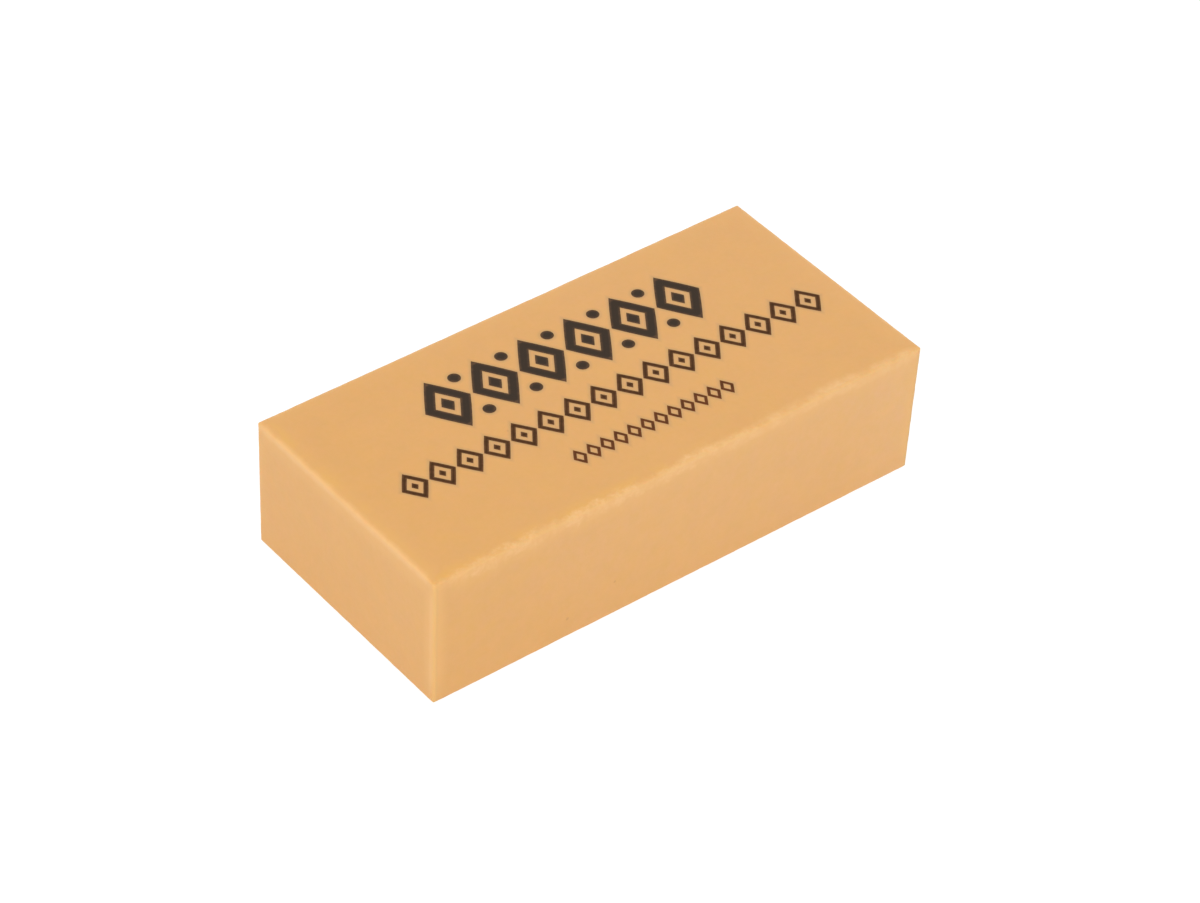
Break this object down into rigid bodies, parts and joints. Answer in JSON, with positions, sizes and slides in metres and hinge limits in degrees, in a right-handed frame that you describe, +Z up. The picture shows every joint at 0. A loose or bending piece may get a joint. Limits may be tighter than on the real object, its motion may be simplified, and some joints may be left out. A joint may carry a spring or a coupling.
{
  "type": "gum eraser",
  "caption": "Small rectangular block of soft tan eraser gum with lightly rounded edges and one end cut slightly out of square. It rests flat and rubs out pencil.",
  "frame": {"origin": "under the middle of the block, on the flat face that it rests on", "axes": "+X along the length towards the leaning cut end, +Y across the width, +Z up through the height"},
  "size_m": [0.0508, 0.0246, 0.013],
  "materials": {
    "gum": "satin",
    "ink": "matte"
  },
  "bodies": {
    "root": {"gum_block": "gum"}
  },
  "joints": []
}
